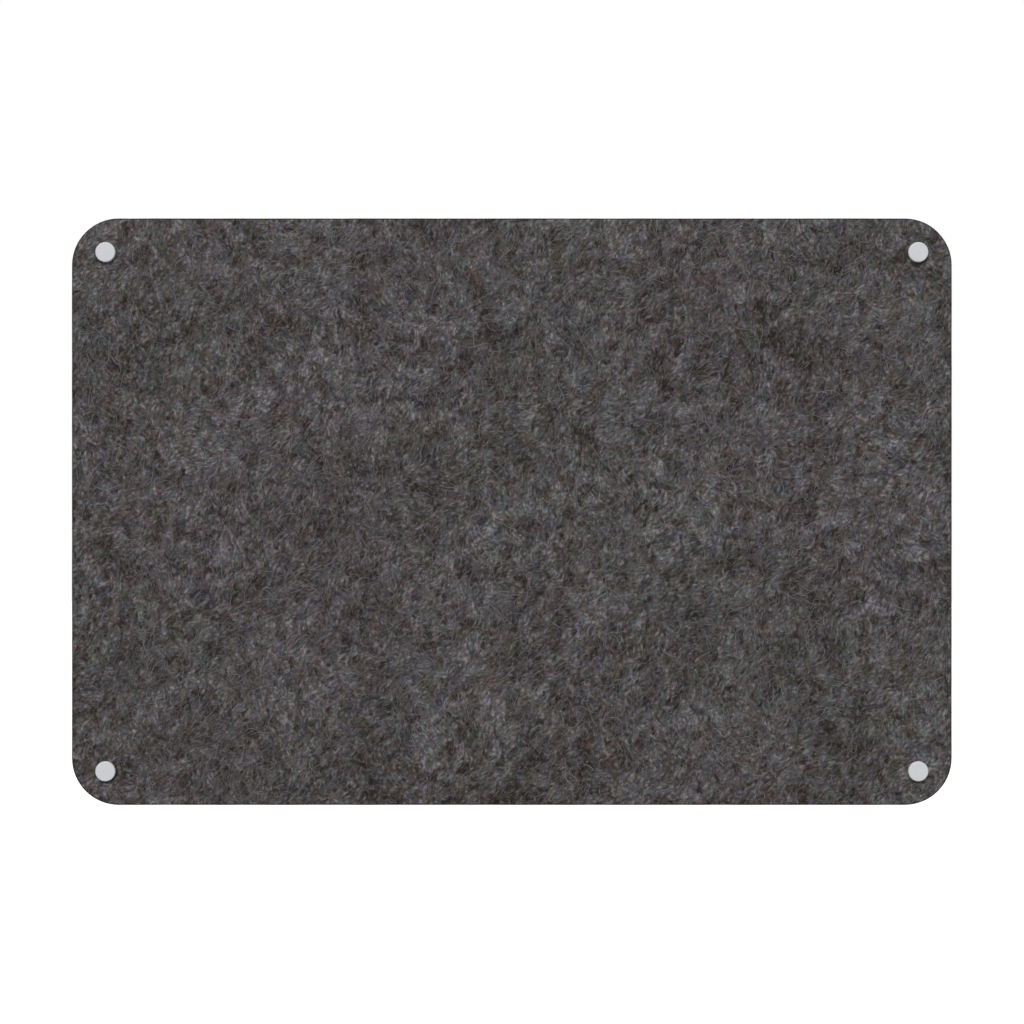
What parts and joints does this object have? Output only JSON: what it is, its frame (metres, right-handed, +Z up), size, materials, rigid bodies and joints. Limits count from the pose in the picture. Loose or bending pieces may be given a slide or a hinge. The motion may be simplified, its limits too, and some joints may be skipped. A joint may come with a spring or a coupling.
{
  "type": "pinboard",
  "caption": "Wall pinboard: a rectangular sheet of thick mottled grey felt with rounded corners, held off the wall by spacers and screws under round pull-off caps.",
  "frame": {"origin": "middle of the board, on the surface of the wall that it hangs on", "axes": "+X to the right of a person facing the board, +Y into the wall, +Z up; the pinning face looks along -Y"},
  "size_m": [0.75, 0.0648, 0.5],
  "materials": {
    "felt": "matte",
    "cap": "satin",
    "seat": "satin",
    "screw": "satin",
    "spacer": "matte",
    "plug": "matte"
  },
  "bodies": {
    "board": {"felt_panel": "felt", "cap_seat_top_left": "seat", "wall_screw_top_left": "screw", "wall_spacer_top_left": "spacer", "wall_plug_top_left": "plug", "cap_seat_top_right": "seat", "wall_screw_top_right": "screw", "wall_spacer_top_right": "spacer", "wall_plug_top_right": "plug", "cap_seat_bottom_left": "seat", "wall_screw_bottom_left": "screw", "wall_spacer_bottom_left": "spacer", "wall_plug_bottom_left": "plug", "cap_seat_bottom_right": "seat", "wall_screw_bottom_right": "screw", "wall_spacer_bottom_right": "spacer", "wall_plug_bottom_right": "plug"},
    "cap_top_left": {"cover_cap_top_left": "cap"},
    "cap_top_right": {"cover_cap_top_right": "cap"},
    "cap_bottom_left": {"cover_cap_bottom_left": "cap"},
    "cap_bottom_right": {"cover_cap_bottom_right": "cap"}
  },
  "joints": [
    {"name": "cap_top_left_pull", "type": "slide", "parent": "board", "child": "cap_top_left", "axis": [0, -1, 0], "range_m": [0, 0.012]},
    {"name": "cap_top_right_pull", "type": "slide", "parent": "board", "child": "cap_top_right", "axis": [0, -1, 0], "range_m": [0, 0.012]},
    {"name": "cap_bottom_left_pull", "type": "slide", "parent": "board", "child": "cap_bottom_left", "axis": [0, -1, 0], "range_m": [0, 0.012]},
    {"name": "cap_bottom_right_pull", "type": "slide", "parent": "board", "child": "cap_bottom_right", "axis": [0, -1, 0], "range_m": [0, 0.012]}
  ]
}
